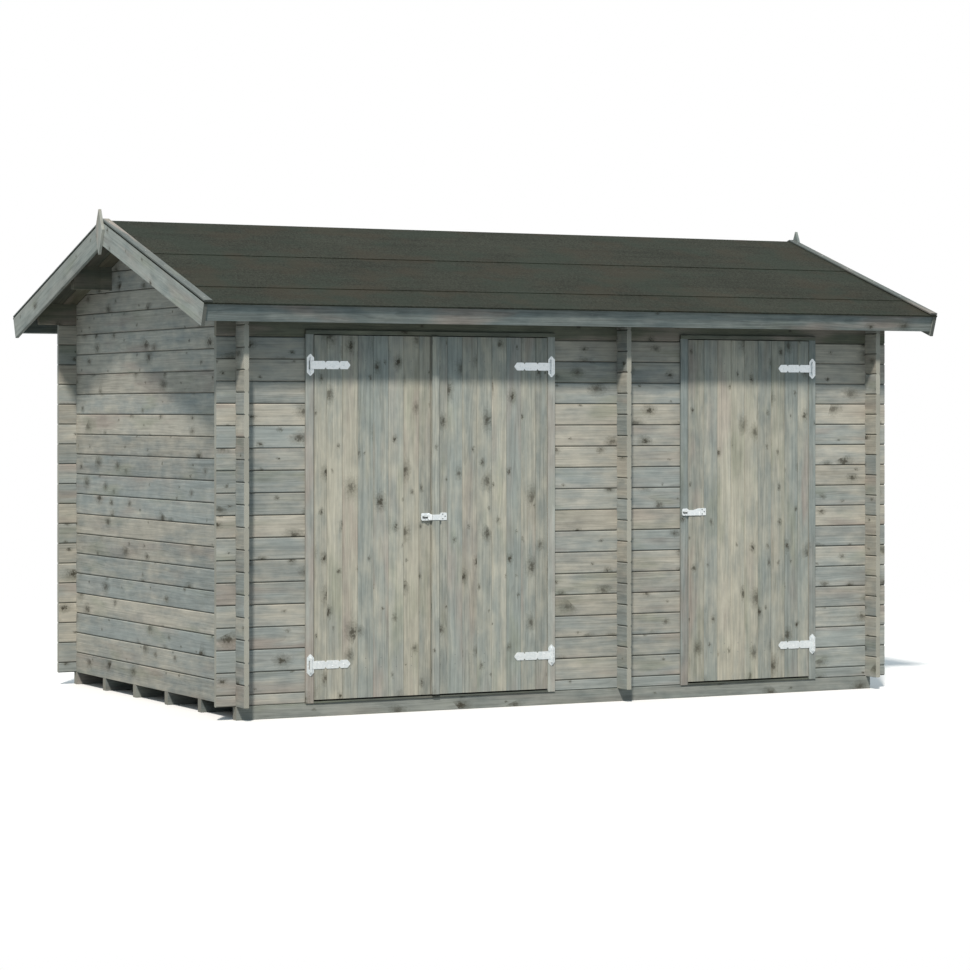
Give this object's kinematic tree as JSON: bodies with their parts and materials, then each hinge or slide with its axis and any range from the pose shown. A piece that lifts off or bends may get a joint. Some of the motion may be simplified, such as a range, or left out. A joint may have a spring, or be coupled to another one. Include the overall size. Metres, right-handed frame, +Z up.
{
  "type": "wooden garden shed",
  "caption": "Timber garden shed with cross-notched board walls, a felted gable roof, hinged double doors and a further hinged door into a partitioned room.",
  "frame": {"origin": "on the ground under the middle of the shed", "axes": "+X along the ridge towards the single door, -Y out of the door front, +Z up"},
  "size_m": [4.484, 2.8886, 2.656],
  "materials": {
    "base_wood": "rough sawn, weathered",
    "floor_wood": "planed, untreated",
    "wall_wood": "planed, grey weathered",
    "roof_wood": "planed, grey weathered",
    "roof_felt": "mineral grit",
    "trim_wood": "planed, grey weathered",
    "door_wood": "planed, grey weathered",
    "zinc_steel": "zinc plated"
  },
  "bodies": {
    "shed": {"floor_bearers": "base_wood", "left_floor": "floor_wood", "right_floor": "floor_wood", "front_wall_left": "wall_wood", "front_wall_middle": "wall_wood", "front_wall_right": "wall_wood", "front_header": "wall_wood", "front_wall_plate": "wall_wood", "back_wall": "wall_wood", "back_wall_plate": "wall_wood", "left_gable_wall": "wall_wood", "right_gable_wall": "wall_wood", "partition_wall": "wall_wood", "ridge_purlin": "wall_wood", "front_purlin": "wall_wood", "back_purlin": "wall_wood", "front_roof_boards": "roof_wood", "back_roof_boards": "roof_wood", "front_felt": "roof_felt", "back_felt": "roof_felt", "ridge_felt": "roof_felt", "left_barge_boards": "trim_wood", "right_barge_boards": "trim_wood", "left_verge_laths": "trim_wood", "right_verge_laths": "trim_wood", "left_finial": "trim_wood", "right_finial": "trim_wood", "front_fascia": "trim_wood", "back_fascia": "trim_wood", "double_door_posts": "trim_wood", "double_door_head": "trim_wood", "double_door_sill": "trim_wood", "single_door_posts": "trim_wood", "single_door_head": "trim_wood", "single_door_sill": "trim_wood", "single_door_staple": "zinc_steel", "hinge_plates": "zinc_steel"},
    "left_leaf": {"left_leaf_boards": "door_wood", "left_leaf_ledges": "door_wood", "left_leaf_straps": "zinc_steel", "left_leaf_staple": "zinc_steel"},
    "right_leaf": {"right_leaf_boards": "door_wood", "right_leaf_ledges": "door_wood", "right_leaf_strip": "door_wood", "right_leaf_straps": "zinc_steel", "right_leaf_hasp": "zinc_steel"},
    "single_door": {"single_door_boards": "door_wood", "single_door_ledges": "door_wood", "single_door_straps": "zinc_steel", "single_door_hasp": "zinc_steel"}
  },
  "joints": [
    {"name": "left_leaf_hinge", "type": "hinge", "parent": "shed", "child": "left_leaf", "pos_m": [-1.537, -1.2035, 1], "axis": [0, 0, -1], "range_deg": [0, 160]},
    {"name": "right_leaf_hinge", "type": "hinge", "parent": "shed", "child": "right_leaf", "pos_m": [-0.123, -1.2035, 1], "axis": [0, 0, 1], "range_deg": [0, 160]},
    {"name": "single_door_hinge", "type": "hinge", "parent": "shed", "child": "single_door", "pos_m": [1.547, -1.2035, 1], "axis": [0, 0, 1], "range_deg": [0, 160]}
  ]
}
